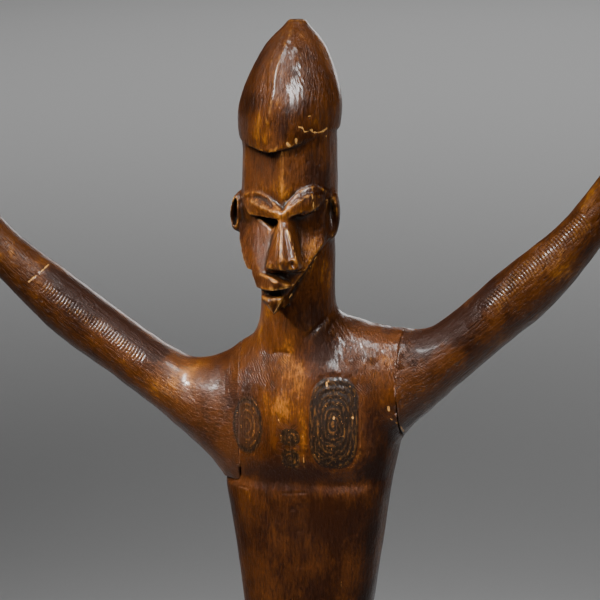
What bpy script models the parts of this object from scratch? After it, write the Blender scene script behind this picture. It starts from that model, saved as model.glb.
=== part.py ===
"""Carved wooden tribal figure with both arms raised, standing on a low oval base.

Three pieces of wood: the trunk, carved from one log with its head, tall headdress, legs and
base, and two arms butted against the shoulders. +Z is up, the figure faces -Y, and the
origin is at the centre of the base's underside.
"""
import math
from collections import namedtuple

import bmesh
import bpy
from mathutils import Matrix, Vector

# Driving sizes, in metres.
FIGURE_HEIGHT = 0.595
BASE_THICKNESS = 0.022
BASE_HALF_WIDTH = 0.062
BASE_HALF_DEPTH = 0.054
BASE_CHAMFER = 0.0025
JOINT_GAP = 0.0003

# The figure keeps its proportions as shares of its own height, from the soles to the tip of
# the headdress: one share is a millimetre on a figure carved 595 mm tall.
TIP = 595
SHARE = FIGURE_HEIGHT / TIP

# Levels above the soles, in shares.
LEDGE = 364
CHIN = 456.5
MOUTH = 465.5
NOSE_BASE = 477.5
BROW = 505
RIM = 537

# Places of the two shoulder joints, in shares from the middle plane, the turn of the left one
# about the upright, in degrees, and the room that its cut leaves to the neck and ear.
RIGHT_JOINT = 49.6
LEFT_JOINT = -34.5
LEFT_JOINT_TURN = 12
LEFT_SHOULDER_TOP = 447
CLEAR_OF_HEAD = -46

# Fineness of the soft masses, in shares, and how far they are thinned to triangles.
VOXEL = 2.6
SOFTENING = 9
BODY_KEEP = 0.1
LEGS_KEEP = 0.075

Section = namedtuple("Section", "level x y wide front back front_power back_power skew",
                     defaults=(2.0, 2.0, 0.0))
Knuckle = namedtuple("Knuckle", "x y level thick deep lean")
Layer = namedtuple("Layer", "level x wide edge front")
Skull = namedtuple("Skull", "level x y wide front back")


def place(x, y, level):
    """A point of the figure, given in shares, as metres above the floor."""
    return Vector((x * SHARE, y * SHARE, BASE_THICKNESS + level * SHARE))


def bend(values, position):
    """A smooth value between the rows of a short list, at a fractional row number."""
    row = min(int(position), len(values) - 2)
    before = values[max(row - 1, 0)]
    start = values[row]
    end = values[row + 1]
    after = values[min(row + 2, len(values) - 1)]
    t = position - row
    rise = (end - before) / 2
    fall = (after - start) / 2
    return ((2 * t**3 - 3 * t**2 + 1) * start + (t**3 - 2 * t**2 + t) * rise
            + (3 * t**2 - 2 * t**3) * end + (t**3 - t**2) * fall)


def spread(rows, steps):
    """More rows of the same kind, smoothly between those given."""
    columns = list(zip(*rows))
    count = (len(rows) - 1) * steps
    finer = []
    for index in range(count + 1):
        finer.append(type(rows[0])(*(bend(column, index / steps) for column in columns)))
    return finer


def power_point(angle, power):
    """A point of a rounded outline between a diamond (1), an ellipse (2) and a box."""
    across = math.cos(angle)
    along = math.sin(angle)
    return (math.copysign(abs(across) ** (2 / power), across),
            math.copysign(abs(along) ** (2 / power), along))


def upright_ring(section, sides):
    """The level outline of a section, its front and back halves of their own shape."""
    ring = []
    for index in range(sides):
        angle = 2 * math.pi * (index + 0.5 * (sides % 4 != 0)) / sides
        is_front = math.sin(angle) < 0
        power = section.front_power if is_front else section.back_power
        deep = section.front if is_front else section.back
        across, along = power_point(angle, power)
        shift = section.skew * max(-along, 0)
        ring.append(place(section.x + section.wide * across + shift,
                          section.y + deep * along, section.level))
    return ring


def limb_ring(knuckle, sides):
    """The outline of a limb at one knuckle, leaning from the upright by some degrees."""
    lean = math.radians(knuckle.lean)
    ring = []
    for side in range(sides):
        angle = 2 * math.pi * side / sides
        rise = knuckle.thick * math.cos(angle)
        ring.append(place(knuckle.x - rise * math.sin(lean),
                          knuckle.y + knuckle.deep * math.sin(angle),
                          knuckle.level + rise * math.cos(lean)))
    return ring


def layer_ring(layer):
    """The seven-cornered outline of the face at one level: two cheeks and a middle edge."""
    back = -16
    cheek = 0.45
    cheek_depth = layer.front + 0.2 * (layer.edge - layer.front)
    outline = ((-0.7 * layer.wide, back), (-layer.wide, layer.edge),
               (-cheek * layer.wide, cheek_depth), (0, layer.front),
               (cheek * layer.wide, cheek_depth), (layer.wide, layer.edge),
               (0.7 * layer.wide, back))
    return [place(layer.x + x, y, layer.level) for x, y in outline]


def skull_ring(row):
    """The outline of the upper head at one level, as shares of its own width and depths."""
    corners = ((-1, -0.1), (-0.97, -0.34), (-0.8, -0.64), (0.11, -1), (0.6, -0.77),
               (0.86, -0.54), (0.97, -0.28))
    ring = [place(row.x + row.wide * across, row.y + row.front * along, row.level)
            for across, along in corners]
    sides = 14
    for side in range(sides + 1):
        angle = math.pi * side / sides
        ring.append(place(row.x + row.wide * math.cos(angle),
                          row.y + row.back * math.sin(angle), row.level))
    return ring


def solid(name, mesh_data):
    """A new object in the workshop collection from a bmesh with its faces turned outwards."""
    bmesh.ops.recalc_face_normals(mesh_data, faces=mesh_data.faces)
    mesh = bpy.data.meshes.new(name)
    mesh_data.to_mesh(mesh)
    mesh_data.free()
    made = bpy.data.objects.new(name, mesh)
    workshop.objects.link(made)
    return made


def loft(name, rings):
    """A closed solid through rings of equal count, capped flat at both ends."""
    mesh_data = bmesh.new()
    loops = [[mesh_data.verts.new(point) for point in ring] for ring in rings]
    for lower, upper in zip(loops, loops[1:]):
        for index in range(len(lower)):
            following = (index + 1) % len(lower)
            mesh_data.faces.new((lower[index], lower[following], upper[following], upper[index]))
    mesh_data.faces.new(loops[0])
    mesh_data.faces.new(loops[-1])
    return solid(name, mesh_data)


def hewn(name, corners):
    """A facetted block whose corners are where flat chisel cuts meet."""
    mesh_data = bmesh.new()
    points = [mesh_data.verts.new(place(*corner)) for corner in corners]
    hull = bmesh.ops.convex_hull(mesh_data, input=points)
    inside = [item for item in hull["geom_interior"] if isinstance(item, bmesh.types.BMVert)]
    bmesh.ops.delete(mesh_data, geom=inside, context="VERTS")
    return solid(name, mesh_data)


def oval(name, centre, halves, turn):
    """A small ellipsoid, turned about the upright by some degrees."""
    mesh_data = bmesh.new()
    bmesh.ops.create_uvsphere(mesh_data, u_segments=16, v_segments=10, radius=1)
    shape = Matrix.Diagonal([half * SHARE for half in halves]).to_4x4()
    turned = Matrix.Rotation(math.radians(turn), 4, "Z")
    matrix = Matrix.Translation(place(*centre)) @ turned @ shape
    bmesh.ops.transform(mesh_data, matrix=matrix, verts=mesh_data.verts)
    return solid(name, mesh_data)


def block(name, low, high, turn=0):
    """A box cutter between two corners in metres, turned about its inner upright edge."""
    mesh_data = bmesh.new()
    bmesh.ops.create_cube(mesh_data, size=1)
    size = Vector(high) - Vector(low)
    middle = (Vector(high) + Vector(low)) / 2
    inner = Vector((low[0] if low[0] > 0 else high[0], 0, 0))
    swing = (Matrix.Translation(inner) @ Matrix.Rotation(math.radians(turn), 4, "Z")
             @ Matrix.Translation(-inner))
    matrix = swing @ Matrix.Translation(middle) @ Matrix.Diagonal(size).to_4x4()
    bmesh.ops.transform(mesh_data, matrix=matrix, verts=mesh_data.verts)
    return solid(name, mesh_data)


def apply_modifiers(target):
    """Put a new mesh, with the modifiers worked in, in place of the old one."""
    evaluated = target.evaluated_get(bpy.context.evaluated_depsgraph_get())
    mesh = bpy.data.meshes.new_from_object(evaluated)
    target.modifiers.clear()
    target.data = mesh
    return target


def combine(target, others, operation="UNION"):
    """Join or cut the target with each of the others, which are then removed."""
    for other in others:
        change = target.modifiers.new(operation.lower(), "BOOLEAN")
        change.operation = operation
        change.solver = "EXACT"
        change.object = other
        apply_modifiers(target)
        bpy.data.objects.remove(other)
    return target


def soften(name, masses, keep):
    """Melt overlapping masses into one soft carved form and thin its triangles."""
    melted = masses[0]
    gathered = bmesh.new()
    for mass in masses:
        gathered.from_mesh(mass.data)
    gathered.to_mesh(melted.data)
    gathered.free()
    for mass in masses[1:]:
        bpy.data.objects.remove(mass)
    melted.name = name
    skin = melted.modifiers.new("skin", "REMESH")
    skin.mode = "VOXEL"
    skin.voxel_size = VOXEL * SHARE
    smoothing = melted.modifiers.new("smoothing", "SMOOTH")
    smoothing.iterations = SOFTENING
    thinning = melted.modifiers.new("thinning", "DECIMATE")
    thinning.ratio = keep
    return apply_modifiers(melted)


def copied(source, name):
    """A second object with its own mesh."""
    twin = bpy.data.objects.new(name, source.data.copy())
    workshop.objects.link(twin)
    return twin


def make_chest():
    """Chest and neck: drawn in above the waist and again at the neck, a thick column."""
    rows = [
        Section(LEDGE - 14, 0.4, -2, 40.6, 23, 22, 2.5, 2.3),
        Section(LEDGE - 2, 0.4, -2, 42.4, 24.4, 23.4, 2.5, 2.3),
        Section(LEDGE + 7, 0.4, -2, 44.6, 28.6, 25.8, 2.5, 2.3),
        Section(384, 0.7, -2, 46.4, 32, 27.5, 2.4, 2.3),
        Section(404, 0.4, -2, 45.2, 32, 27.5, 2.3, 2.2),
        Section(420, -1, -3, 39, 29.5, 26, 2.2, 2.1),
        Section(431, -1.5, -5, 30, 25.5, 23.5),
        Section(441, -2, -9, 22, 22.5, 20.5),
        Section(452, -2.5, -12, 18.8, 19.4, 19.2),
        Section(468, -2.6, -13, 19, 19, 19.5),
        Section(484, -3.3, -16, 20.6, 18, 22.5),
        Section(500, -4.4, -19, 19.5, 16.5, 24),
        Section(518, -4.7, -20, 20, 18, 24),
        Section(RIM + 3, -4.7, -20, 20, 18, 23),
    ]
    return loft("chest", [upright_ring(row, 40) for row in spread(rows, 4)])


def make_arm(name, knuckles):
    """An arm from inside the chest, through shoulder and wrist, to a plain mitten hand."""
    return loft(name, [limb_ring(knuckle, 24) for knuckle in spread(knuckles, 3)])


def make_right_arm():
    return make_arm("right_limb", [
        Knuckle(4, -4, 419, 32, 20, 0), Knuckle(20, -3, 417, 31.4, 22, 0),
        Knuckle(32, -3, 415, 29.6, 22.5, 0), Knuckle(43.4, -3, 414.2, 29, 22.5, 0),
        Knuckle(50, -3, 415, 27.4, 21.5, 0), Knuckle(56, -3, 418.4, 23.6, 19.8, 0),
        Knuckle(62, -3, 422.2, 20.2, 18.2, 8), Knuckle(69, -3, 428, 16.9, 17, 20),
        Knuckle(80, -3, 437.2, 15.4, 15.8, 32), Knuckle(97.7, -4, 453.2, 15.3, 15, 41),
        Knuckle(109.5, -4, 463.4, 15.6, 14.6, 42), Knuckle(121.3, -5, 474.8, 14.4, 13.8, 45),
        Knuckle(133, -5, 487.3, 12.4, 12.6, 49), Knuckle(144.4, -5, 501.8, 11.4, 11.8, 53),
        Knuckle(159, -5, 524, 10.5, 11, 62), Knuckle(170, -5, 549, 9.3, 9.8, 68),
        Knuckle(176.5, -6, 567, 8.5, 12.2, 71), Knuckle(181, -7, 583, 6.7, 12.4, 73),
        Knuckle(183.5, -7, 592, 3.4, 7, 74),
    ])


def make_left_arm():
    return make_arm("left_limb", [
        Knuckle(-4, -4, 409, 33, 20, 0), Knuckle(-20, -3, 405, 33.5, 22, 0),
        Knuckle(-30, -3, 400, 35.5, 22.5, 0), Knuckle(-36, -3, 396.6, 34.6, 22.5, 0),
        Knuckle(-41.5, -3, 394.6, 32.8, 22, 0), Knuckle(-47.8, -3, 396.8, 27.6, 21, 0),
        Knuckle(-54.2, -3, 399, 23.6, 19.6, 0), Knuckle(-60.5, -3, 402, 19.8, 18, -8),
        Knuckle(-66.8, -3, 405.8, 17.2, 17, -16), Knuckle(-75, -3, 411, 15.8, 16.2, -27),
        Knuckle(-86, -4, 418.2, 15.1, 15.4, -33), Knuckle(-98.6, -4, 426.6, 14.9, 14.8, -34),
        Knuckle(-111.4, -4, 434.8, 15.4, 14.6, -35), Knuckle(-124.2, -5, 443.8, 15.4, 14.2, -36),
        Knuckle(-137, -5, 454, 14.4, 13.4, -38), Knuckle(-150, -5, 464.3, 12.9, 12.6, -41),
        Knuckle(-162.6, -5, 475.4, 11.7, 11.8, -45), Knuckle(-176, -5, 491, 10.6, 11, -54),
        Knuckle(-187, -5, 512, 9.3, 9.8, -63), Knuckle(-194, -6, 529, 8.5, 12.2, -70),
        Knuckle(-199, -7, 545, 6.7, 12.4, -73), Knuckle(-201.5, -7, 554, 3.4, 7, -75),
    ])


def make_hips():
    """The tapering waist, flat in front under its square upper edge, and plain hips."""
    rows = [
        Section(LEDGE + 16, 0.8, -2, 44.4, 28.6, 25.4, 2.9, 2.3),
        Section(LEDGE, 0.9, -2, 42.8, 27.6, 24.8, 2.9, 2.3),
        Section(344, 1.1, -2, 39.5, 26, 24, 2.9, 2.3),
        Section(325, 1, -2, 36.9, 24.8, 23, 2.8, 2.3),
        Section(301, 0.8, -2, 33.7, 23.4, 22, 2.7, 2.2),
        Section(278, 0, -1, 30.6, 22.2, 21.6, 2.5, 2.1),
        Section(258, 0, 0, 30, 21.6, 22.6, 2.3, 2.1),
        Section(236, 0, 2, 33, 22.4, 26.5),
        Section(212, 0, 3, 37, 23, 29),
        Section(192, 0, 2, 36, 21.5, 27),
        Section(178, 0, 0, 31, 17, 20),
    ]
    return loft("hips", [upright_ring(row, 40) for row in spread(rows, 3)])


def make_leg(side):
    """A short leg, a little bent at the knee, with a wedge of a foot."""
    rows = [
        Section(206, 16.5 * side, 0, 18, 20, 22),
        Section(180, 17.2 * side, -2, 17, 18.5, 20),
        Section(150, 17.8 * side, -6, 15, 16, 16),
        Section(122, 18.2 * side, -9, 12.8, 13.5, 12),
        Section(110, 18.4 * side, -9, 12.8, 14, 12),
        Section(84, 18.8 * side, -3, 13.8, 13.5, 17),
        Section(58, 19.4 * side, 1, 11.6, 11.5, 13.5),
        Section(30, 19.8 * side, 2, 10, 10.5, 11.5),
        Section(12, 20.2 * side, 0, 11, 14, 13),
        Section(-6, 20.4 * side, -1, 11.6, 16, 13.6),
    ]
    shank = loft("leg", [upright_ring(row, 24) for row in spread(rows, 3)])
    foot_rows = [
        Section(-6, 20.6 * side, -10, 12.4, 27, 22, 2.6, 2.4),
        Section(4, 20.6 * side, -10, 12.2, 26.5, 21.5, 2.6, 2.4),
        Section(11, 20.4 * side, -7, 10.6, 22, 18, 2.4, 2.3),
        Section(18, 20.2 * side, -3, 8, 12, 12),
    ]
    foot = loft("foot", [upright_ring(row, 24) for row in spread(foot_rows, 2)])
    return [shank, foot]


def make_head():
    """The upper head: round behind, and in front two flat planes that meet at a ridge."""
    rows = [
        Skull(478, -3.6, -15, 17.6, 19, 19.5),
        Skull(487, -4, -17, 20.4, 21.5, 23),
        Skull(497, -4.4, -20, 22.6, 22, 25.4),
        Skull(505, -4.4, -20, 23.4, 24.6, 26),
        Skull(515, -4.4, -20, 23.4, 25.6, 26),
        Skull(RIM + 12, -4.4, -20, 22.6, 25.2, 24.6),
    ]
    return loft("head", [skull_ring(row) for row in rows])


def rim_rise(x, level):
    """How much higher than its front corner the headdress's rim runs at each side."""
    across = x + 8.5
    lift = 9.5 * (across / 27) ** 1.3 if across > 0 else -6 * across / 27
    return (lift - 4.4) * max(0, 1 - (level - RIM) / 22)


def make_headdress():
    """A tall pointed cap with an overhanging rim and its tip cut flat."""
    rows = [
        Section(RIM, -5.2, -20, 24.4, 28.6, 27.2, 1.6, 2),
        Section(RIM + 1.6, -5, -20, 25.2, 29.4, 28.2, 1.6, 2),
        Section(RIM + 6, -5, -20, 25.7, 29.6, 28.8, 1.65, 2),
        Section(RIM + 13, -4.8, -20, 26, 29.4, 29, 1.7, 2),
        Section(RIM + 19, -4.4, -19.7, 25.4, 28.4, 28.6, 1.7, 2),
        Section(RIM + 26, -3.8, -19.2, 23.4, 26.2, 26.8, 1.75, 2),
        Section(RIM + 33, -3.5, -18.6, 20.9, 23.4, 24, 1.75, 2),
        Section(RIM + 40, -3.3, -17.9, 18, 20, 20.6, 1.8, 2),
        Section(RIM + 47, -2.8, -17.2, 14, 15.4, 16, 1.9, 2),
        Section(RIM + 53, -2.3, -16.5, 9, 9.8, 10.2),
        Section(TIP, -2.1, -16, 3.8, 3.8, 3.8),
    ]
    rings = []
    for row in spread(rows, 2):
        ring = upright_ring(row, 36)
        for point in ring:
            point.z += rim_rise(point.x / SHARE, row.level) * SHARE
        rings.append(ring)
    return loft("headdress", rings)


def make_face():
    """The shield-shaped face: flat cheeks over a sharp step, and the hollow mouth under it."""
    step = 0.4
    under = NOSE_BASE - 2.6
    layers = [
        Layer(CHIN + 0.5, -5.6, 4.4, -41, -45),
        Layer(MOUTH - 4.5, -6.8, 5.6, -42, -46),
        Layer(MOUTH + 0.5, -5.6, 8, -42.5, -46.5),
        Layer(MOUTH + 4.5, -5.4, 10.2, -42, -47),
        Layer(under, -5, 13.6, -41, -47.4),
        Layer(under + step, -5.6, 14.8, -42.6, -50.4),
        Layer(480, -6, 17.6, -39, -48.4),
        Layer(488, -5.4, 21.8, -32.4, -44.2),
        Layer(498, -5.8, 22.8, -28, -40.8),
        Layer(BROW + 4, -5.6, 22.6, -26, -39),
        Layer(BROW + 9, -5.4, 21, -24, -36),
    ]
    return loft("face", [layer_ring(layer) for layer in layers])


def make_lips():
    """Full lips on an open mouth, the upper one cut away to the right, and a small chin."""
    upper = hewn("upper_lip", [
        (-17.6, -44.6, 474.2), (-10.3, -51, 474.5), (-5.7, -53.8, 473.5), (-2.2, -53.8, 471.8),
        (3.9, -49, 468.9), (-14.2, -46, 466.4), (-9.5, -52.4, 466.5), (-4.6, -54.6, 466.8),
        (0.6, -52.4, 467.2), (3.8, -48.8, 468), (-15, -38, 473), (-12.6, -38, 466.6),
        (2, -40, 468.6), (-2, -40, 472),
    ])
    lower = hewn("lower_lip", [
        (-12.9, -44.6, 463), (-7.4, -51.6, 462.5), (-0.2, -48.4, 463.2), (-12.5, -44.8, 460.6),
        (-7.2, -52.2, 460.6), (-0.8, -49.2, 461), (-10.5, -36, 463), (-2, -38, 463),
        (-4.6, -49.4, 454.2), (-9.5, -40, 456.4), (-3.6, -38, 456.4),
    ])
    return [upper, lower]


def make_brows():
    """Two sloping bars that meet at the root of the nose and shade the eyes."""
    left = hewn("left_brow", [
        (-25.4, -31.6, 509.4), (-18.9, -37.4, 512.6), (-14.5, -39.8, 511.8),
        (-8.9, -42.4, 510), (-2.6, -45, 506.4), (-25.4, -33.4, 507.6), (-18.3, -41.2, 508.2),
        (-12.2, -45.2, 506.4), (-6.5, -48, 504.7), (-1.2, -49.4, 503.6),
        (-24.8, -33, 504.8), (-19.7, -40, 501.4), (-11.2, -44.8, 500.9), (-1.4, -49, 500.3),
        (-20, -24, 508), (-20, -24, 502), (0, -34, 505), (0, -34, 501),
    ])
    right = hewn("right_brow", [
        (-0.6, -46.4, 506.4), (5.8, -42.6, 514), (11.6, -38.4, 516.6), (15.8, -32, 514),
        (-0.8, -49.4, 503.8), (7.4, -45.8, 510.6), (12.6, -40.8, 513.2), (16, -34, 511.6),
        (-1.2, -49, 500.3), (6.4, -46, 501.7), (11.6, -41.8, 504), (14.4, -37.8, 506.4),
        (16, -33, 509), (-1, -34, 505), (0, -34, 501), (12, -24, 510), (12, -24, 504),
    ])
    return [left, right]


def make_nose():
    """A long wedge with three ridges, its wings cut square below."""
    return hewn("nose", [
        (-2, -49, 501), (-4.6, -46.6, 496.4), (1.8, -47.6, 500.4), (-7.7, -52.2, 480.2),
        (0.6, -57.4, 481.6), (7.6, -52.2, 481), (-8.9, -50.8, NOSE_BASE - 0.6),
        (0.3, -55.6, NOSE_BASE - 0.4), (8.4, -50.2, NOSE_BASE - 0.6), (-9.2, -44, NOSE_BASE),
        (8.8, -44, NOSE_BASE), (-6, -40, 497), (3.4, -40, 500), (0, -38, BROW - 3),
    ])


def eye_cutters():
    """The deep three-cornered socket of one eye and the thin slit of the other."""
    left = hewn("left_socket", [
        (-22, -46, 501.2), (-2.4, -54, 500.4), (-7.4, -54, 492.6), (-15.5, -30, 501.8),
        (-4.4, -36, 501.6), (-7.2, -36.5, 495.8),
    ])
    right = hewn("right_slit", [
        (-0.6, -54, 500.7), (6.4, -52, 502), (13.6, -46, 506.6), (-0.6, -54, 499.6),
        (6.4, -52, 500.7), (13.6, -46, 505.2), (0.6, -44, 500.5), (6.4, -41.6, 501.9),
        (12, -36.6, 505.8),
    ])
    return [left, right]


def add_ears(head):
    """C-shaped ears: raised ovals at the temples, hollowed from the front."""
    right = oval("right_ear", (16.7, -21, 500.6), (4.8, 6.8, 12.8), 12)
    left = oval("left_ear", (-28.6, -24, 500), (4, 8.4, 11.4), -14)
    combine(head, [right, left])
    right_hollow = oval("right_hollow", (18.5, -28.6, 500), (2.5, 7, 10), 15)
    left_hollow = oval("left_hollow", (-30.4, -31.4, 501), (1.7, 7.6, 7.6), -6)
    return combine(head, [right_hollow, left_hollow], "DIFFERENCE")


def make_base():
    """The low oval base, cut from the same log, with both rims chamfered."""
    rings = []
    levels = ((0, BASE_CHAMFER), (BASE_CHAMFER, 0), (BASE_THICKNESS - BASE_CHAMFER, 0),
              (BASE_THICKNESS, BASE_CHAMFER))
    sides = 48
    for level, inset in levels:
        ring = []
        for side in range(sides):
            angle = 2 * math.pi * side / sides
            ring.append(Vector(((BASE_HALF_WIDTH - inset) * math.cos(angle),
                                (BASE_HALF_DEPTH - inset) * math.sin(angle), level)))
        rings.append(ring)
    return loft("base", rings)


def shoulder_cutters(gap):
    """The room of each arm block beyond its shoulder joint, drawn back by a gap."""
    reach = 0.6 * FIGURE_HEIGHT
    deep = 0.3 * FIGURE_HEIGHT
    floor = place(0, 0, LEDGE).z - 0.2 * JOINT_GAP + gap * 1.2
    top = place(0, 0, TIP).z + deep
    right = block("right_room", (RIGHT_JOINT * SHARE + gap, -deep, floor), (reach, deep, top))
    left = block("left_room", (-reach, -deep, floor),
                 (LEFT_JOINT * SHARE - gap, deep, place(0, 0, LEFT_SHOULDER_TOP).z),
                 LEFT_JOINT_TURN)
    left_sky = block("left_sky", (-reach, -deep, floor + deep / 4),
                     (CLEAR_OF_HEAD * SHARE, deep, top))
    return right, combine(left, [left_sky])


def make_figure():
    """Melt the soft masses, add the crisp carving, and part the arms at the shoulders."""
    upper = soften("upper", [make_chest(), make_right_arm(), make_left_arm()], BODY_KEEP)
    far = FIGURE_HEIGHT
    under = block("under", (-far, -far, -far), (far, far, place(0, 0, LEDGE - 6).z))
    combine(upper, [under], "DIFFERENCE")
    lower = soften("lower", [make_hips()] + make_leg(-1) + make_leg(1), LEGS_KEEP)
    trim = block("trim", (-far, -far, -far), (far, far, BASE_THICKNESS - 4 * SHARE))
    over = block("over", (-far, -far, place(0, 0, LEDGE).z), (far, far, far))
    combine(lower, [trim, over], "DIFFERENCE")
    combine(lower, [make_base()])
    head = combine(make_head(), [make_face()] + make_lips() + make_brows() + [make_nose()])
    combine(head, eye_cutters(), "DIFFERENCE")
    add_ears(head)
    combine(head, [make_headdress()])
    figure = combine(upper, [head, lower])
    right_arm = copied(figure, "right_arm")
    left_arm = copied(figure, "left_arm")
    combine(figure, shoulder_cutters(0), "DIFFERENCE")
    right_room, left_room = shoulder_cutters(JOINT_GAP)
    combine(right_arm, [right_room], "INTERSECT")
    combine(left_arm, [left_room], "INTERSECT")
    figure.name = "carved_figure"
    return figure, right_arm, left_arm


def wood(name, colour, roughness):
    """A stained and waxed wood."""
    material = bpy.data.materials.new(name)
    material.use_nodes = True
    shader = material.node_tree.nodes["Principled BSDF"]
    shader.inputs["Base Color"].default_value = (*colour, 1)
    shader.inputs["Roughness"].default_value = roughness
    shader.inputs["Metallic"].default_value = 0
    return material


for leftover in list(bpy.data.objects):
    bpy.data.objects.remove(leftover)
tribal_figure = bpy.data.collections.new("tribal_figure")
workshop = bpy.data.collections.new("workshop")
bpy.context.scene.collection.children.link(tribal_figure)
bpy.context.scene.collection.children.link(workshop)

trunk_wood = wood("trunk_wood", (0.16, 0.066, 0.02), 0.36)
arm_wood = wood("arm_wood", (0.15, 0.06, 0.018), 0.36)
for piece, finish in zip(make_figure(), (trunk_wood, arm_wood, arm_wood)):
    workshop.objects.unlink(piece)
    tribal_figure.objects.link(piece)
    piece.data.materials.clear()
    piece.data.materials.append(finish)
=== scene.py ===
"""Looks of the carved wooden tribal figure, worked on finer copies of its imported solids."""
import math

import bmesh
import bpy
import numpy as np
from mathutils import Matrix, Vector
from mathutils.kdtree import KDTree


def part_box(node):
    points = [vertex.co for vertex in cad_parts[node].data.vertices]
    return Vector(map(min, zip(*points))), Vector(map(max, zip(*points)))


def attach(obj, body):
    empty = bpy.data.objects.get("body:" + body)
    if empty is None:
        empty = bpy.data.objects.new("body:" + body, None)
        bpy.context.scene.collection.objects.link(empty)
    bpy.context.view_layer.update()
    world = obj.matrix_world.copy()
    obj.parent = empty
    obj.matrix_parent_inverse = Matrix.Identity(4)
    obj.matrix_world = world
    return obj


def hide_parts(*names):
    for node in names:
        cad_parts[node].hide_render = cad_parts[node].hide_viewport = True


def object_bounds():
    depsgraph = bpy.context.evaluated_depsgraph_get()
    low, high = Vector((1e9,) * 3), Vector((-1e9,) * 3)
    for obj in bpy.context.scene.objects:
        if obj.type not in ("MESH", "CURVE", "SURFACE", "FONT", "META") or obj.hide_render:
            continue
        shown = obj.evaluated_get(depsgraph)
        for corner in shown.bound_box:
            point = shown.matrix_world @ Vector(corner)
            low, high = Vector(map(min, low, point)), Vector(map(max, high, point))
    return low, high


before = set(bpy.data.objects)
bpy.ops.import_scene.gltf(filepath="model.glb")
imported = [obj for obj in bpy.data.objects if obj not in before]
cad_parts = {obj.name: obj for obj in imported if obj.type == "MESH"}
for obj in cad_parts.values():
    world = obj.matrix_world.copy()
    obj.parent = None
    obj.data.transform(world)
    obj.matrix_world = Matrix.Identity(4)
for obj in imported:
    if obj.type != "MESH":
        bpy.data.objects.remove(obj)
cad_low, cad_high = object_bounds()

# Trunk: head, tall headdress, body, legs and low base, carved in one from a log of fine
# grained hardwood. It was shaped with chisel and rasp, stained dark and waxed to a gloss.
# In the tables below, x and level are in millimetres, level counted up from the soles.
MM = 0.001
SOLES = 22
MERGING = 0.01 * MM
TRUNK_VOXEL = 0.00075
TRIANGLES_KEPT = 190000


def refined_copy(node, name, voxel):
    """A finer copy of a CAD node, and how far each of its points is from a cut edge."""
    piece = bpy.data.objects.new(name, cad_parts[node].data.copy())
    bpy.context.scene.collection.objects.link(piece)
    bpy.ops.object.select_all(action="DESELECT")
    piece.select_set(True)
    bpy.context.view_layer.objects.active = piece
    bpy.ops.object.mode_set(mode="EDIT")
    bpy.ops.mesh.select_all(action="SELECT")
    bpy.ops.mesh.remove_doubles(threshold=MERGING)
    bpy.ops.object.mode_set(mode="OBJECT")
    cut = edge_points(piece.data)
    skin = piece.modifiers.new("skin", "REMESH")
    skin.mode = "VOXEL"
    skin.voxel_size = voxel
    bpy.ops.object.modifier_apply(modifier="skin")
    away = np.array([cut.find(vertex.co)[2] for vertex in piece.data.vertices])
    return piece, away


def edge_points(mesh, sharp=38, spacing=1.2 * MM):
    """A search tree of points along the edges where two faces meet at a sharp angle."""
    shape = bmesh.new()
    shape.from_mesh(mesh)
    bmesh.ops.remove_doubles(shape, verts=shape.verts, dist=MERGING)
    found = []
    for edge in shape.edges:
        if edge.is_manifold and edge.calc_face_angle() > math.radians(sharp):
            start, end = (vertex.co for vertex in edge.verts)
            steps = max(1, math.ceil(edge.calc_length() / spacing))
            found.extend(start.lerp(end, step / steps) for step in range(steps + 1))
    shape.free()
    tree = KDTree(len(found))
    for index, point in enumerate(found):
        tree.insert(point, index)
    tree.balance()
    return tree


def read_points(mesh):
    """The places of a mesh's points, in metres, as rows."""
    flat = np.empty(len(mesh.vertices) * 3)
    mesh.vertices.foreach_get("co", flat)
    return flat.reshape(-1, 3)


def write_points(mesh, points):
    """Put the points back in the mesh."""
    mesh.vertices.foreach_set("co", points.ravel())
    mesh.update()


def read_edges(mesh):
    """The two ends of each edge, as rows."""
    flat = np.empty(len(mesh.edges) * 2, int)
    mesh.edges.foreach_get("vertices", flat)
    return flat.reshape(-1, 2)


def read_normals(mesh):
    """The outward direction at each point."""
    flat = np.empty(len(mesh.vertices) * 3)
    mesh.vertex_normals.foreach_get("vector", flat)
    return flat.reshape(-1, 3)


def evened(points, edges, share, rounds):
    """The points drawn towards their neighbours' mean, each by its own share, in rounds."""
    size = len(points)
    count = np.bincount(edges.ravel(), minlength=size)[:, None]
    one, other = edges.T
    for _ in range(rounds):
        total = np.stack([np.bincount(one, points[other, axis], size)
                          + np.bincount(other, points[one, axis], size)
                          for axis in range(points.shape[1])], axis=1)
        points = points + share * (total / count - points)
    return points


def rise(values, low, high):
    """A smooth step from 0 below the low value to 1 above the high one."""
    share = np.clip((values - low) / (high - low), 0, 1)
    return share * share * (3 - 2 * share)


def waves(points, length, seed, stretch=(1, 1, 1)):
    """Smooth random heights between about -1 and 1, with waves of about a given length."""
    random = np.random.default_rng(seed)
    count = 24
    aim = random.normal(size=(count, 3))
    aim /= np.linalg.norm(aim, axis=1)[:, None]
    pace = 2 * math.pi / length * random.uniform(0.6, 1.5, count)
    phase = random.uniform(0, 2 * math.pi, count)
    heights = np.sin((points / stretch) @ (aim * pace[:, None]).T + phase)
    return heights.sum(axis=1) / math.sqrt(count)


def store(mesh, name, values, kind="FLOAT", field="value"):
    """Keep a value for each point under a name that the materials read."""
    attribute = mesh.attributes.new(name, kind, "POINT")
    attribute.data.foreach_set(field, np.asarray(values, np.float32).ravel())


NEAR_ROUNDS = 5
WIDE_ROUNDS = 34
WORN_FROM, WORN_TO = 0.05 * MM, 0.24 * MM
# Depths over which the hollows take painted shade.
HOLLOW_SHADE_FROM, HOLLOW_SHADE_TO = 0.08 * MM, 0.8 * MM


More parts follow.
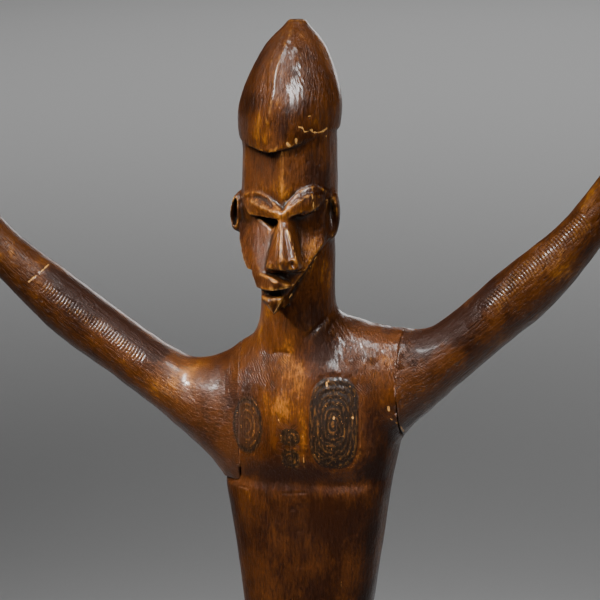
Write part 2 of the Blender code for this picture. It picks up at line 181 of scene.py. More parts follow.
def worn_and_hollow_shaded(piece, handled):
    """Store how proud of the carving around it each point lies, for its wear, and how deep in it,
    for the painted shade of the hollows.
    """
    points = read_points(piece.data)
    edges = read_edges(piece.data)
    normals = read_normals(piece.data)
    near = evened(points, edges, 0.8, NEAR_ROUNDS)
    wide = evened(near, edges, 0.8, WIDE_ROUNDS)
    proud = ((points - near) * normals).sum(axis=1)
    deep = ((wide - points) * normals).sum(axis=1)
    store(piece.data, "wear", rise(proud, WORN_FROM, WORN_TO) * handled)
    store(piece.data, "hollow_shade", rise(deep, HOLLOW_SHADE_FROM, HOLLOW_SHADE_TO))


def joined(points, nodes, reach=0.75 * MM):
    """The points near other nodes' cut edges drawn onto them, and how far each was from one."""
    away = np.full(len(points), 1.0)
    drawn = points.copy()
    for node in nodes:
        tree = edge_points(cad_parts[node].data, spacing=0.3 * MM)
        for index, point in enumerate(points):
            place, _, gap = tree.find(point)
            away[index] = min(away[index], gap)
            if gap < reach:
                drawn[index] = place
    return drawn, away


def relief_kept(points, nodes):
    """How much of its relief each point keeps: none on a seam, and all from 4 mm away."""
    return rise(joined(points, nodes)[1], 0.5 * MM, 4 * MM)


THINNING_STEPS = 4
LEAST_THINNED = 0.1


def thinned(piece, most, spare, low, high):
    """Thin a piece to a number of triangles, more where it is spare, inside its own box."""
    piece.data.calc_loop_triangles()
    count = len(piece.data.loop_triangles)
    if count > most:
        group = piece.vertex_groups.new(name="spare")
        for step in range(THINNING_STEPS + 1):
            chosen = np.nonzero(np.round(spare * THINNING_STEPS).astype(int) == step)[0]
            weight = LEAST_THINNED + (1 - LEAST_THINNED) / THINNING_STEPS * step
            group.add(chosen.tolist(), weight, "REPLACE")
        thinning = piece.modifiers.new("thinning", "DECIMATE")
        thinning.ratio = most / count
        thinning.vertex_group = "spare"
        bpy.ops.object.modifier_apply(modifier="thinning")
        write_points(piece.data, np.clip(read_points(piece.data), low, high))
    bpy.ops.object.select_all(action="DESELECT")
    piece.select_set(True)
    bpy.context.view_layer.objects.active = piece
    bpy.ops.object.shade_smooth()


def along_path(x, level, path):
    """How far each point is along a path of (x, level) corners, above it and away from it."""
    away = np.full(len(x), np.inf)
    run = np.zeros(len(x))
    above = np.zeros(len(x))
    done = 0
    for (x_from, level_from), (x_to, level_to) in zip(path, path[1:]):
        length = math.hypot(x_to - x_from, level_to - level_from)
        right, up = (x_to - x_from) / length, (level_to - level_from) / length
        passed = np.clip((x - x_from) * right + (level - level_from) * up, 0, length)
        gap = np.hypot(x - x_from - passed * right, level - level_from - passed * up)
        closer = gap < away
        run[closer] = done + passed[closer]
        above[closer] = ((level - level_from) * right - (x - x_from) * up)[closer]
        away = np.minimum(away, gap)
        done += length
    return run, above, away


def blobs(x, level, spots):
    """The sum of some soft oval spots: centre, half width, half height and strength."""
    total = np.zeros(len(x))
    for centre, middle, wide, tall, strength in spots:
        reach = ((x - centre) / wide) ** 2 + ((level - middle) / tall) ** 2
        total += strength * np.exp(-1.4 * reach)
    return total


# Knots in the chest: x and level of the middle, half width, half height, squareness, rings.
KNOTS = ((-23.9, 394.6, 8.6, 14.8, 2, 4.5), (20.4, 397.8, 12.1, 23.4, 3.2, 7),
         (-1, 390.4, 5.2, 4.5, 2.6, 2.5), (-1.1, 379.3, 5, 5.2, 2.6, 2.5))
# Pale chips and rubbed lines, and painted highlights among them: lit lines on the nose ridges, the
# forehead ridge, the right jaw and the top edge of the waist, a lit spot on the chest, and glints
# on the headdress and by the right ear. Each row gives how pale, half width, and a path of
# corners.
CHIPS_AND_GLINTS = (
    (0.56, 0.4, (5.4, 396), (5.9, 386), (5.4, 372.5)), (0.5, 0.35, (1.4, 386), (8.6, 386.3)),
    (0.5, 0.35, (2.6, 401), (4.6, 397), (8.4, 392.4)), (0.55, 0.9, (-7.6, 401.4), (-6.2, 396.8)),
    (0.55, 0.4, (29.5, 382.8), (33, 381.6), (36, 383.4)),
    (0.85, 0.45, (6.3, 545.8), (8, 545.3), (8.7, 543.1), (11.7, 543.9), (11.8, 542.7),
     (14.1, 542.1), (16.5, 543.1), (16.9, 544), (17.4, 542), (17.9, 542)),
    (0.9, 0.6, (20.6, 401.8), (20.9, 400.4)), (0.9, 0.5, (16.6, 418), (16.9, 416.6)),
    (0.9, 0.4, (29.4, 401.2), (29.6, 400.6)), (1, 0.6, (46.5, 406.2), (46.5, 404.4)),
    (0.85, 0.7, (1.4, 537.9), (1.9, 536.6)), (0.85, 0.7, (5.2, 539.6), (5.3, 537.4)),
    (0.85, 0.5, (16.5, 540.2), (16.9, 539.2)), (0.8, 0.4, (17.6, 534.4), (17.9, 532.4)),
    (0.7, 0.4, (9.6, 550.2), (11.4, 551)), (0.5, 0.35, (-1.8, 534), (-2.3, 518), (-2.7, 510)),
    (0.7, 0.35, (-2.2, 509.1), (0.9, 509.8), (3.7, 512.3)), (1, 0.7, (17.4, 508.6), (18.2, 506.6)),
    (1, 0.6, (18.5, 505.9), (18.8, 503)), (0.9, 0.8, (-31.4, 508), (-31.2, 506)),
    (0.66, 0.35, (12.4, 512.4), (12.8, 504.4)), (0.66, 0.3, (7.6, 503.6), (12.8, 504.2)),
    (0.55, 0.35, (-1.5, 501), (-0.6, 492), (0.1, 485.4)), (0.7, 0.4, (0.9, 498), (4.1, 490.4),
     (7.4, 482)), (0.6, 0.35, (-3.8, 494.8), (-6.2, 488.2), (-8.7, 482.9)),
    (0.56, 0.4, (7.9, 474.4), (10.8, 480.1), (15.5, 486.9), (18.6, 491)),
    (0.75, 0.4, (-13.6, 466.6), (-4.4, 467), (3.6, 468.4)),
    (0.8, 0.35, (-0.6, 461.8), (-2.3, 459), (-4.8, 454.6)),
    (0.75, 0.35, (-9, 457.4), (-4.8, 454.6)),
    (0.55, 0.4, (0.6, 322), (2.4, 322.8), (4.4, 323.4)), (0.5, 0.35, (5.2, 324.6), (5.8, 322.6)),
    (0.6, 0.3, (22.8, 319), (22.4, 306), (23, 292)), (0.5, 0.4, (-29.4, 361.8), (-24.1, 361.6)),
    (0.45, 0.5, (-7.2, 360.4), (5.2, 361.6)), (0.45, 0.45, (1.6, 355.2), (7.4, 355.6)),
    (0.7, 0.35, (47, 400), (49.6, 397), (50.4, 390)),
)
# Broad patches of stain, dark ones above nought and rubbed, golden ones below: x and level of the
# middle, half width, half height, strength. Some dark ones are not stain but painted shade: the
# band along the foot of the chest, under its overhang, and the big patches that make the waist and
# legs darker towards the bottom. The next two tables are laid out alike.
STAINS_AND_SHADE = (
    (6, 372, 24, 7, 0.8), (-26, 369, 14, 4, 0.3), (38, 374, 10, 9, 0.5), (0, 345, 40, 16, 0.4),
    (0, 300, 70, 70, 0.7), (-12, 509, 8, 3, 0.5), (8, 511, 7, 3, 0.5),
    (34, 340, 9, 60, 0.3), (0, 150, 90, 110, 0.3), (40, 392, 10, 24, 0.9),
    (-34, 490, 6, 22, 0.8), (21, 492, 5, 20, 0.7), (-9, 509, 7, 3, 0.6), (20, 550, 9, 30, 0.3),
    (12, 520, 9, 14, 0.4), (-12, 524, 10, 12, 0.8), (-26, 395, 10, 16, 0.6),
    (-14, 503.5, 8, 2.5, 0.2),
    (10, 445, 10, 16, 0.6), (14, 432, 12, 8, 1), (-14, 547, 7, 7, -0.6), (12, 547, 6, 4, -0.6),
    (-5, 566, 3, 4, 0.5), (-20, 557, 6, 8, 0.4), (-1, 543, 3, 6, 0.7), (1, 554, 3, 6, 0.4),
    (-2, 557, 3, 4, -0.4), (22, 580, 6, 12, 0.4), (-18, 481, 3, 4, -0.7), (12, 484, 4, 8, -0.3),
    (-2, 405, 12, 10, -0.9), (-14, 412, 8, 12, -0.7), (-9, 388, 3, 5, -0.7), (6, 390, 2, 8, -0.8),
    (-26, 374, 12, 6, 0.3), (-10, 484, 6, 8, 0.2), (-10, 368, 10, 8, 0.6), (-6, 424, 12, 8, -0.3),
)
# Places where the rasp has left its fine parallel marks showing through the wax.
RASPED = ((-12, 424, 14, 9, 1.2), (34, 424, 9, 14, 1.2), (50, 428, 10, 8, 1.2),
          (16, 438, 7, 8, 1), (-4, 408, 10, 8, 0.5), (-30, 424, 9, 14, 0.5),
          (24, 360, 20, 60, 0.2), (-12, 508, 8, 4, 0.6), (5, 573, 5, 13, 1))
# Creases of the solid that are softer on the wood: the foot of the chest and the right cheek.
MELTED = ((0, 363, 80, 9, 1), (12, 496, 12, 5, 1), (22, 496, 5, 5, 0.6))
# Ridges above nought and grooves below: height, half width, and a path of corners.
RIDGES = (
    (0.5, 0.8, (1, 507.5), (2.4, 510.1), (5.2, 512.8), (8.1, 515), (11.4, 516.1), (14.1, 515.2),
     (16.6, 513.3), (18.1, 510.4), (19.6, 506.7)),
    (-0.6, 0.6, (3.4, 508.6), (6, 511), (9, 513), (11.6, 514), (13.8, 513.2), (15.8, 511.2),
     (17, 508)),
    (0.5, 0.8, (-27.1, 508.4), (-21.8, 511.2), (-17.9, 512.4), (-13.7, 512.2), (-9.7, 510.6),
     (-6.1, 508.1), (-2.3, 505)),
    (-0.6, 0.6, (-20, 509.6), (-17, 510.6), (-13.6, 510.4), (-10, 508.8), (-6.8, 506.6)),
    (0.5, 1.8, (-6, 588), (-8.6, 578), (-8.6, 567)),
    (0.6, 1.5, (-2.2, 589.3), (-4.5, 581.7), (-6, 570.8), (-6, 559.8), (-8.1, 547.8)),
    (0.35, 0.7, (-1.3, 500), (-0.6, 492), (0.1, 485.4), (2.6, 481.8)),
    (0.4, 0.8, (0.9, 498), (4.1, 490.4), (7.6, 481.4)),
    (0.35, 0.8, (-3.8, 494.8), (-6.2, 488.2), (-8.7, 482.9)),
    (-0.6, 0.8, (-1.9, 495), (-1.9, 484)), (-0.4, 0.7, (1, 496), (4, 483)),
    (-0.5, 1.1, (-10, 431.6), (-5.5, 432.4), (-1, 431.4)),
    (-0.6, 1.1, (16, 451), (9.7, 443.5), (6, 440)), (-0.4, 1, (20, 452), (15, 442)),
    (-0.35, 0.6, (-2.2, 509.1), (0.9, 509.8), (3.7, 512.3)),
)
# Pits below nought and knobs above, two in the waist and three under the nose: x, level,
# radius and height.
PITS = ((-1, 352.7, 1, -0.5), (2.1, 341.4, 0.8, -0.5), (-5.6, 479.2, 1.4, 0.6),
        (-2.4, 479.2, 1.3, 0.6), (-4, 478.8, 0.8, -0.8))
NOSTRIL = (5.5, 480.1)
NOSTRIL_RADIUS = 2.3
# Rows of short cuts over the eyes: depth, where they begin and end to fade, and their path.
BROW_CUTS = ((0.3, 1.2, 2.4, (-16.4, 510), (-8, 507.6)), (0.25, 0.8, 1.8, (8, 512.6), (13, 515)))
BROW_CUT_PITCH = 1.25
CHIP_DEPTH = 0.25
NO_KNOT = 3


def knot_reach(x, level):
    """How far out in its knot each point lies, 1 at the border, and which knot it is."""
    reach = np.full(len(x), float(NO_KNOT))
    which = np.zeros(len(x))
    for number, (centre, middle, wide, tall, power, _) in enumerate(KNOTS):
        across = np.abs(x - centre) / wide
        upward = np.abs(level - middle) / tall
        found = (across ** power + upward ** power) ** (1 / power)
        which[found < reach] = number
        reach = np.minimum(reach, found)
    return reach, which


def chipped_away(x, level, wide, corners):
    """The depth of a line of chips over the points, in millimetres."""
    away = along_path(x, level, corners)[2]
    return CHIP_DEPTH * (1 - rise(away, 0.4 * wide, 1.6 * wide))


def carved_relief(x, level, front):
    """Height of the fine carving over the trunk, in millimetres."""
    reach, which = knot_reach(x, level)
    rings = np.array([knot[5] for knot in KNOTS])[which.astype(int)]
    inside = 1 - rise(reach, 0.9, 1.05)
    height = inside * (0.12 * np.sin(2 * math.pi * rings * reach) - 0.12)
    height -= 0.25 * np.exp(-((reach - 1) / 0.04) ** 2)
    for _, wide, *corners in CHIPS_AND_GLINTS:
        height -= chipped_away(x, level, wide, corners)
    for lift, wide, *corners in RIDGES:
        away = along_path(x, level, corners)[2]
        height += lift * np.exp(-(away / wide) ** 2)
    for centre, middle, radius, lift in PITS:
        height += lift * np.exp(-((x - centre) ** 2 + (level - middle) ** 2) / radius ** 2)
    ring = np.hypot(x - NOSTRIL[0], level - NOSTRIL[1])
    height += 0.6 * np.exp(-((ring - NOSTRIL_RADIUS) / 0.7) ** 2)
    height -= 1.1 * np.exp(-(ring / 1.3) ** 2)
    for depth, fading, faded, *path in BROW_CUTS:
        run, _, away = along_path(x, level, path)
        notch = 0.5 + 0.5 * np.cos(2 * math.pi * run / BROW_CUT_PITCH)
        height -= depth * notch * (1 - rise(away, fading, faded))
    rasped = blobs(x, level, RASPED)
    teeth = np.sin(2 * math.pi * (0.86 * x + 0.5 * level) / 1.6 + 0.4 * np.sin(level))
    height += 0.07 * rasped * teeth
    return height * front


CRISP_WITHIN, SOFT_BEYOND = 1.2 * MM, 5 * MM
BARE_WITHIN, HANDLED_BEYOND = 2.5 * MM, 4 * MM
# Hollows that no hand rubs: the foot of the chest and beside each ear.
SHELTERED = ((0, 363, 90, 7, 1), (-34, 490, 7, 30, 1), (22, 492, 6, 26, 1))
trunk, from_edge = refined_copy("carved_figure", "trunk_carving", TRUNK_VOXEL)
trunk_edges = read_edges(trunk.data)
x, y, level = read_points(trunk.data).T / MM - np.array([[0], [0], [SOLES]])
soft = np.maximum(rise(from_edge, CRISP_WITHIN, SOFT_BEYOND),
                  np.minimum(blobs(x, level, MELTED), 1))
points = evened(read_points(trunk.data), trunk_edges, 0.8 * soft[:, None], 60)
points = evened(points, trunk_edges, 0.5, 1)
write_points(trunk.data, points)
outward = read_normals(trunk.data)
x, y, level = points.T / MM - np.array([[0], [0], [SOLES]])
front = rise(-outward[:, 1], 0.05, 0.5)
height = carved_relief(x, level, front)
height += 0.2 * waves(points, 0.015, 11, (1, 1, 2.2)) * soft
height += 0.05 * waves(points, 0.0025, 12, (1, 1, 12)) * rise(from_edge, 0.5 * MM, 2 * MM)
height *= relief_kept(points, ("right_arm", "left_arm"))
points = np.clip(points + outward * height[:, None] * MM, cad_low, cad_high)
points, away = joined(points, ("right_arm", "left_arm"))
write_points(trunk.data, points)
handled = rise(away, BARE_WITHIN, HANDLED_BEYOND)
handled *= 1 - 0.7 * np.minimum(blobs(x, level, SHELTERED), 1)
worn_and_hollow_shaded(trunk, handled)
reach, which = knot_reach(x, level)
store(trunk.data, "knot", np.where(y < 0, reach, NO_KNOT))
store(trunk.data, "knot_kind", which)
# Pale marks, chips and painted highlights alike, fading off each path.
pale = np.zeros(len(x))
for strength, wide, *corners in CHIPS_AND_GLINTS:
    gap = along_path(x, level, corners)[2]
    pale = np.maximum(pale, strength * (1 - gap / (2.4 * wide)))
store(trunk.data, "pale", pale * front)
# Stain, with painted shade along the foot of the chest and down the waist and legs.
store(trunk.data, "stain_and_painted_light", blobs(x, level, STAINS_AND_SHADE) * front)
store(trunk.data, "rasp", blobs(x, level, RASPED) * front)
# The grain closes in towards the tip of the headdress and flows around the knots.
TIP_X, TIP_Y = -3, -18
RIM_LEVEL, TIP_LEVEL = 545, 600
narrow = 1 + 1.6 * rise(level, RIM_LEVEL, TIP_LEVEL) ** 1.5
rasp_run = np.where(level > RIM_LEVEL - 5, 1.4 * (x - TIP_X) * narrow, 0.86 * x + 0.5 * level)
store(trunk.data, "rasp_run", rasp_run + 0.6 * np.sin(level / 2))
bend = np.sign(x + 1) * 4 * np.exp(-2 * np.maximum(reach - 1, 0))
grain = np.stack([(x - TIP_X) * narrow + bend, (y - TIP_Y) * narrow, level], axis=1) * MM
store(trunk.data, "grain", grain, "FLOAT_VECTOR", "vector")
# The back and everything below the waist are plain, so they take the coarser triangles.
plain = np.maximum(1 - front, rise(-level, -330, -280))
thinned(trunk, TRIANGLES_KEPT, plain, cad_low, cad_high)


def add_node(tree, kind, values=(), **settings):
    """A node of a kind, with plain values or links on its inputs by name or number."""
    made = tree.nodes.new(kind)
    for name, value in settings.items():
        setattr(made, name, value)
    for name, value in dict(values).items():
        if isinstance(value, bpy.types.NodeSocket):
            tree.links.new(value, made.inputs[name])
        else:
            made.inputs[name].default_value = value
    return made


def calculate(tree, operation, *values):
    """The result of a Math node on numbers or links."""
    return add_node(tree, "ShaderNodeMath", enumerate(values), operation=operation).outputs[0]


def blended(tree, share, first, second):
    """One colour laid over another by a share."""
    mixing = add_node(tree, "ShaderNodeMix", {0: share, 6: first, 7: second}, data_type="RGBA")
    return mixing.outputs[2]


def stepped(tree, value, low, high):
    """A smooth step of a link from 0 at the low value to 1 at the high one."""
    made = add_node(tree, "ShaderNodeMapRange", {0: value, 1: low, 2: high},
                    interpolation_type="SMOOTHSTEP")
    return made.outputs[0]


def streaks(tree, place, across, along, detail):
    """Noise drawn out along the grain, its size given across and along it in metres."""
    scaled = add_node(tree, "ShaderNodeVectorMath",
                      {0: place, 1: (1 / across, 1 / across, 1 / along)},
                      operation="MULTIPLY").outputs[0]
    return add_node(tree, "ShaderNodeTexNoise",
                    {"Vector": scaled, "Scale": 1.0, "Detail": detail}).outputs[0]


def kept(tree, name, output="Fac"):
    """A value stored on the mesh."""
    return add_node(tree, "ShaderNodeAttribute", attribute_name=name).outputs[output]


def new_group(name, inputs, outputs):
    """An empty node group with named sockets, and its input and output nodes."""
    group = bpy.data.node_groups.new(name, "ShaderNodeTree")
    for title, kind in inputs:
        group.interface.new_socket(title, in_out="INPUT", socket_type="NodeSocket" + kind)
    for title, kind in outputs:
        group.interface.new_socket(title, in_out="OUTPUT", socket_type="NodeSocket" + kind)
    return group, group.nodes.new("NodeGroupInput"), group.nodes.new("NodeGroupOutput")


def waxed_grain():
    """The stained wood: broad and fine streaks, blotches of tone and short dark pores.

    Streaks follow the grain, and blotches the figure's own frame, so that they run on across the
    seams. Stained places are duller. The input that stains them also carries painted shade, which
    darkens and dulls, and painted highlight, which lightens.
    """
    group, given, result = new_group(
        "waxed_grain",
        [("Grain", "Vector"), ("Place", "Vector"), ("Stain_and_painted_light", "Float"), ("Dark", "Color"),
         ("Middle", "Color"), ("Light", "Color")],
        [("Color", "Color"), ("Roughness", "Float"), ("Coat", "Float"), ("Height", "Float")])
    place = given.outputs["Grain"]
    broad = streaks(group, place, 0.005, 0.06, 3)
    fine = streaks(group, place, 0.001, 0.014, 3)
    blotch = streaks(group, given.outputs["Place"], 0.02, 0.035, 4)
    speckle = streaks(group, place, 0.0011, 0.0022, 4)
    mottle = streaks(group, given.outputs["Place"], 0.005, 0.007, 4)
    pores = stepped(group, streaks(group, place, 0.0006, 0.005, 1), 0.58, 0.7)
    tone = calculate(group, "MULTIPLY", blotch, 0.75)
    for part, share in ((broad, 0.12), (fine, 0.2), (speckle, 0.36), (mottle, 0.3)):
        tone = calculate(group, "MULTIPLY_ADD", part, share, tone)
    # Stain darkens the tone; painted shade does the same through this input, and painted highlight
    # lightens it.
    tone = calculate(group, "MULTIPLY_ADD", given.outputs["Stain_and_painted_light"], -0.24, tone)
    low = blended(group, stepped(group, tone, 0.64, 0.94), given.outputs["Dark"],
                  given.outputs["Middle"])
    high = blended(group, stepped(group, tone, 0.9, 1.16), low, given.outputs["Light"])
    dotted = blended(group, calculate(group, "MULTIPLY", pores, 0.5), high,
                     given.outputs["Dark"])
    rough = calculate(group, "MULTIPLY_ADD", blotch, 0.3,
                      calculate(group, "MULTIPLY_ADD", speckle, 0.3, 0.1))
    dull = stepped(group, given.outputs["Stain_and_painted_light"], 0.1, 1.0)
    rough = calculate(group, "MULTIPLY_ADD", dull, 0.12, rough)
    coat = calculate(group, "MULTIPLY_ADD", dull, -0.28, 0.36)
    facets = streaks(group, place, 0.0028, 0.005, 1)
    height = calculate(group, "MULTIPLY_ADD", broad, 0.5, fine)
    height = calculate(group, "MULTIPLY_ADD", speckle, 0.9, height)
    height = calculate(group, "MULTIPLY_ADD", facets, 0.9, height)
    height = calculate(group, "MULTIPLY_ADD", pores, -0.6, height)
    group.links.new(dotted, result.inputs["Color"])
    group.links.new(rough, result.inputs["Roughness"])
    group.links.new(coat, result.inputs["Coat"])
    group.links.new(height, result.inputs["Height"])
    return group


grain_group = waxed_grain()
BUMP_DEPTH = 0.4 * MM
WORN = (0.36, 0.15, 0.025, 1)
# One pale colour for chips and for painted highlights and glints.
CHIP_AND_GLINT_COLOUR = (0.5, 0.26, 0.075, 1)
# Painted shade for the hollows of the carving.
HOLLOW_SHADE_COLOUR = (0.009, 0.0045, 0.002, 1)
KNOT_BLACK = (0.008, 0.003, 0.0008, 1)
KNOT_RING = (0.044, 0.019, 0.004, 1)
KNOT_HEART = (0.027, 0.0078, 0.0006, 1)
SPECK = (0.2, 0.1, 0.025, 1)


def knotted(tree, colour, place):
    """Lay the near black knots with their ring lines and golden specks over the wood."""
    wander = streaks(tree, place, 0.003, 0.005, 3)
    reach = calculate(tree, "MULTIPLY_ADD", wander, 0.12,
                      calculate(tree, "SUBTRACT", kept(tree, "knot"), 0.06))
    inside = calculate(tree, "SUBTRACT", 1, stepped(tree, reach, 0.94, 1.0))
    turns = calculate(tree, "MULTIPLY_ADD", reach, 50, calculate(tree, "MULTIPLY", wander, 10))
    crest = stepped(tree, calculate(tree, "SINE", turns), 0.3, 0.9)
    broken = stepped(tree, streaks(tree, place, 0.0014, 0.0024, 3), 0.42, 0.62)
    first = calculate(tree, "LESS_THAN", kept(tree, "knot_kind"), 0.5)
    heart = calculate(tree, "MULTIPLY", first,
                      calculate(tree, "SUBTRACT", 1, stepped(tree, reach, 0.7, 0.88)))
    dark = blended(tree, heart, KNOT_BLACK, KNOT_HEART)
    line = blended(tree, heart, KNOT_RING, KNOT_BLACK)
    ringed = blended(tree, calculate(tree, "MULTIPLY", crest, broken), dark, line)
    speck = stepped(tree, streaks(tree, place, 0.0011, 0.0014, 2), 0.68, 0.74)
    ringed = blended(tree, speck, ringed, SPECK)
    return blended(tree, inside, colour, ringed), inside


def waxed_wood(name, dark, middle, light):
    """A glossy stained wood that is worn pale on its edges and darkened with painted shade in its
    hollows.
    """
    material = bpy.data.materials.new(name)
    material.use_nodes = True
    tree = material.node_tree
    shader = tree.nodes["Principled BSDF"]
    place = kept(tree, "grain", "Vector")
    wood = add_node(tree, "ShaderNodeGroup", node_tree=grain_group)
    tree.links.new(place, wood.inputs["Grain"])
    spot = add_node(tree, "ShaderNodeTexCoord")
    tree.links.new(spot.outputs["Object"], wood.inputs["Place"])
    tree.links.new(kept(tree, "stain_and_painted_light"), wood.inputs["Stain_and_painted_light"])
    for title, colour in (("Dark", dark), ("Middle", middle), ("Light", light)):
        wood.inputs[title].default_value = (*colour, 1)
    ragged = streaks(tree, place, 0.0022, 0.004, 3)
    colour, inside = knotted(tree, wood.outputs["Color"], place)
    rough = calculate(tree, "MULTIPLY_ADD", inside, 0.1, wood.outputs["Roughness"])
    coat = calculate(tree, "MULTIPLY", wood.outputs["Coat"],
                     calculate(tree, "MULTIPLY_ADD", inside, -0.6, 1))
    rubbed = calculate(tree, "MULTIPLY", kept(tree, "wear"), stepped(tree, ragged, 0.38, 0.62))
    colour = blended(tree, calculate(tree, "MULTIPLY", rubbed, 0.6), colour, WORN)
    # Painted shade: the hollows darkened by their stored depth.
    colour = blended(tree, calculate(tree, "MULTIPLY", kept(tree, "hollow_shade"), 0.9), colour, HOLLOW_SHADE_COLOUR)
    # Pale marks: chips, and painted highlights on lit ridges and edges, and painted glints.
    chip_and_glint_share = stepped(tree, calculate(tree, "MULTIPLY_ADD", ragged, 0.9, kept(tree, "pale")),
                      0.98, 1.06)
    colour = blended(tree, calculate(tree, "MULTIPLY", chip_and_glint_share, 0.85), colour, CHIP_AND_GLINT_COLOUR)
    tree.links.new(colour, shader.inputs["Base Color"])
    tree.links.new(rough, shader.inputs["Roughness"])
    bowed = calculate(tree, "MULTIPLY_ADD", streaks(tree, place, 0.007, 0.007, 1), 9,
                      calculate(tree, "MULTIPLY", kept(tree, "rasp_run"), 5.2))
    marks = stepped(tree, streaks(tree, place, 0.004, 0.004, 2), 0.4, 0.62)
    teeth = calculate(tree, "MULTIPLY", calculate(tree, "SINE", bowed),
                      calculate(tree, "MULTIPLY", kept(tree, "rasp"), marks))
    height = calculate(tree, "MULTIPLY_ADD", teeth, 0.7, wood.outputs["Height"])
    bump = add_node(tree, "ShaderNodeBump",
                    {"Strength": 1.0, "Distance": BUMP_DEPTH, "Height": height})
    tree.links.new(bump.outputs[0], shader.inputs["Normal"])
    shader.inputs["Specular IOR Level"].default_value = 0.2
    tree.links.new(coat, shader.inputs["Coat Weight"])
    shader.inputs["Coat Roughness"].default_value = 0.18
    return material


DARK_STAIN = (0.017, 0.0038, 0.0002)
trunk.data.materials.clear()
trunk.data.materials.append(waxed_wood("trunk_finish", DARK_STAIN, (0.064, 0.0172, 0.0012),
                                       (0.24, 0.084, 0.009)))
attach(trunk, "root")
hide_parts("carved_figure")

# Arms: each a lighter branch of the same wood, rasped round and butted against the shoulder.
# The grain follows the branch, and the rasp has left rows of short nicks across it.
ARM_VOXEL = 0.0006
ARM_EVENING = 80
NICK_PITCH = 1.75
NICK_DEPTH = 0.34
arm_finish = waxed_wood("arm_finish", DARK_STAIN, (0.061, 0.0168, 0.0012), (0.21, 0.075, 0.009))


def carved_arm(node, name, seed, bone, nicks, half_width, shade, stains_and_painted_light, lines):
    """A finer copy of an arm, evened and tooled, with its grain along its bone.

    Bone, nicks, shade and lines are paths of (x, level) corners. Nicks is the row of nicks, with
    its half width, shade a streak painted darker, on the right arm the painted shadow of the head
    over its root, and each line begins with its own half width. Stains_and_painted_light are more
    patches laid out like the trunk's, with painted shadow and painted highlight among them.
    """
    arm, away = refined_copy(node, name, ARM_VOXEL)
    edges = read_edges(arm.data)
    soft = rise(away, CRISP_WITHIN, SOFT_BEYOND)
    points = evened(read_points(arm.data), edges, 0.8 * soft[:, None], ARM_EVENING)
    points = evened(points, edges, 0.5, 1)
    write_points(arm.data, points)
    out = read_normals(arm.data)
    x, y, level = points.T / MM - np.array([[0], [0], [SOLES]])
    front = rise(-out[:, 1], 0.05, 0.4)
    run, above, _ = along_path(x, level, nicks)
    inside = (1 - rise(np.abs(above), half_width - 1.2, half_width + 0.6)) * front
    groove = 0.5 - 0.5 * np.cos(2 * math.pi * (run + 0.05 * above ** 2) / NICK_PITCH)
    height = -NICK_DEPTH * groove ** 2 * inside * rise(run, 0.2, 3)
    height += 0.1 * waves(points, 0.012, seed) * soft
    for wide, *corners in lines:
        height -= chipped_away(x, level, wide, corners) * front
    height *= relief_kept(points, ("carved_figure",))
    low, high = (np.array(corner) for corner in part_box(node))
    points = np.clip(points + out * height[:, None] * MM, low, high)
    points, away = joined(points, ("carved_figure",))
    write_points(arm.data, points)
    worn_and_hollow_shaded(arm, rise(away, BARE_WITHIN, HANDLED_BEYOND))
    run, above, _ = along_path(x, level, bone)
    store(arm.data, "grain", np.stack([above, y, run], axis=1) * MM, "FLOAT_VECTOR", "vector")
    # A streak painted darker; on the right arm it is painted shadow of the head.
    band = 0.9 * (1 - rise(along_path(x, level, shade)[2], 2, 8))
    store(arm.data, "stain_and_painted_light", (blobs(x, level, STAINS_AND_SHADE + stains_and_painted_light) + band) * front)
    pale = np.zeros(len(x))
    for wide, *corners in lines:
        pale = np.maximum(pale, 0.8 - along_path(x, level, corners)[2] / (3 * wide))
    store(arm.data, "pale", pale * front)
    reach, which = knot_reach(x, level)
    store(arm.data, "knot", np.where(y < 0, reach, NO_KNOT))
    store(arm.data, "knot_kind", which)
    store(arm.data, "rasp", blobs(x, level, RASPED) + 0.07)
    store(arm.data, "rasp_run", run + 0.3 * above)
    thinned(arm, TRIANGLES_KEPT, 1 - front, low, high)
    arm.data.materials.clear()
    arm.data.materials.append(arm_finish)
    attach(arm, "root")
    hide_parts(node)


# On the right arm, the dark streak over the root and the dark patches beside it are painted shadow
# of the head.
carved_arm("right_arm", "right_arm_carving", 21,
           ((43, 414), (62, 422), (80, 437), (98, 453), (121, 475), (144, 502), (159, 524),
            (170, 549), (184, 592)),
           ((94, 455), (98.3, 459.7), (113.5, 475.6), (127.7, 488.4), (142, 501.6)), 5,
           ((62, 438), (77.5, 452), (92, 464)),
           ((76, 446, 18, 12, 0.9), (106, 462, 20, 7, -0.3), (79, 430, 20, 8, -0.2),
            (124, 476, 16, 7, -0.3), (58, 436, 14, 12, 0.7), (150, 520, 16, 20, -0.4),
            (96, 474, 16, 14, 0.5)),
           ((0.4, (51, 395), (51.6, 386)),))
# On the left arm, the golden patch at the elbow is a painted highlight where a glint falls.
carved_arm("left_arm", "left_arm_carving", 22,
           ((-36, 397), (-54, 399), (-75, 411), (-99, 427), (-124, 444), (-150, 464),
            (-176, 491), (-187, 512), (-201, 554)),
           ((-137, 459.2), (-125, 450.4), (-113.4, 442.7), (-102, 436.2), (-92.8, 429.2),
            (-82, 422.4)), 3.2,
           ((-130, 463.5), (-108.3, 449.7), (-87.2, 434.5), (-75.4, 426.4)),
           ((-145, 473, 12, 10, -0.3), (-122, 445, 12, 5, -0.3), (-110, 450, 30, 14, 0.5),
            (-88, 424, 12, 5, -0.2), (-66, 412, 12, 5, -0.5), (-46, 384, 12, 12, 0.4),
            (-34, 404, 6, 8, 0.5), (-160, 488, 12, 12, -0.2)),
           ((0.5, (-134.6, 467.2), (-137.4, 463.6)), (0.4, (-139, 462.4), (-142.4, 459.4))))

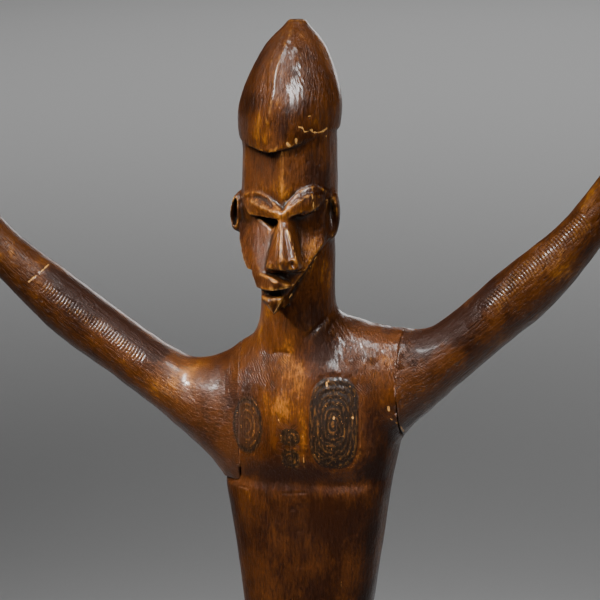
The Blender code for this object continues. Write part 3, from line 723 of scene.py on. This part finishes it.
# Floor: a plain pale surface that is not part of the object, wide enough to fill the view.
bpy.ops.object.select_all(action="DESELECT")
bpy.ops.mesh.primitive_plane_add(size=60)
floor = bpy.context.object
floor.name = "floor"
surface = bpy.data.materials.new("pale_floor")
surface.use_nodes = True
surface_shader = surface.node_tree.nodes["Principled BSDF"]
surface_shader.inputs["Base Color"].default_value = (0.6, 0.6, 0.6, 1)
surface_shader.inputs["Roughness"].default_value = 0.9
floor.data.materials.append(surface)


# Light: soft lamps, as in a studio. The key lamp is high in front on the viewer's left, a
# small one picks out the chest, and four large ones light the floor all round the figure.
def soft_lamp(name, azimuth, elevation, distance, width, height, power, spread, aim):
    """An oblong lamp that faces a place, from an azimuth counted from the front to the right."""
    turn = math.radians(azimuth)
    lift = math.radians(elevation)
    back = Vector((math.sin(turn) * math.cos(lift), -math.cos(turn) * math.cos(lift),
                   math.sin(lift)))
    data = bpy.data.lights.new(name, "AREA")
    data.shape = "RECTANGLE"
    data.size = width
    data.size_y = height
    data.energy = power
    data.spread = math.radians(spread)
    lamp = bpy.data.objects.new(name, data)
    lamp.location = Vector(aim) + back * distance
    lamp.rotation_euler = back.to_track_quat("Z", "Y").to_euler()
    bpy.context.scene.collection.objects.link(lamp)


HEAD = (0, 0, 0.5)
soft_lamp("key_lamp", -26, 46, 1.3, 0.13, 0.5, 3.3, 60, HEAD)
soft_lamp("chest_lamp", -34, 34, 1, 0.1, 0.12, 0.12, 12, (-0.012, 0, 0.44))
soft_lamp("right_lamp", 36, 36, 0.75, 0.08, 0.26, 0.42, 45, (0.02, 0, 0.5))
soft_lamp("top_lamp", 10, 66, 1.3, 0.3, 0.3, 0.7, 60, HEAD)
soft_lamp("back_lamp", 178, 16, 1.6, 0.6, 0.6, 1, 80, (0, 0, 0.36))
FLOOR_LAMP_SIZE = 8
FLOOR_LAMP_HEIGHT = 6
for name, aim in (("back", (0, 6.4, 0)), ("right", (8.6, 0, 0)), ("front", (0, -8.6, 0)),
                  ("left", (-8.6, 0, 0))):
    soft_lamp(name + "_floor_lamp", 0, 90, FLOOR_LAMP_HEIGHT, FLOOR_LAMP_SIZE, FLOOR_LAMP_SIZE,
              125, 68, aim)
world = bpy.data.worlds.new("surround")
world.use_nodes = True
world.node_tree.nodes["Background"].inputs["Color"].default_value = (0.75, 0.77, 0.8, 1)
world.node_tree.nodes["Background"].inputs["Strength"].default_value = 0.02
bpy.context.scene.world = world

# Camera: where the photograph was taken from, 15 degrees to the figure's left and a little
# above, through a long lens.
AIM_HEIGHT = 0.4755
AIM_SHIFT = 0.00475
CAMERA_DISTANCE = 1.5
turn = math.radians(15)
lift = math.radians(10)
right = Vector((math.cos(turn), math.sin(turn), 0))
back = Vector((math.sin(turn) * math.cos(lift), -math.cos(turn) * math.cos(lift),
               math.sin(lift)))
camera_data = bpy.data.cameras.new("camera")
camera_data.sensor_width = 36
camera_data.lens = 180
camera = bpy.data.objects.new("camera", camera_data)
camera.location = Vector((0, 0, AIM_HEIGHT)) - right * AIM_SHIFT + back * CAMERA_DISTANCE
camera.rotation_euler = back.to_track_quat("Z", "Y").to_euler()
bpy.context.scene.collection.objects.link(camera)
bpy.context.scene.camera = camera
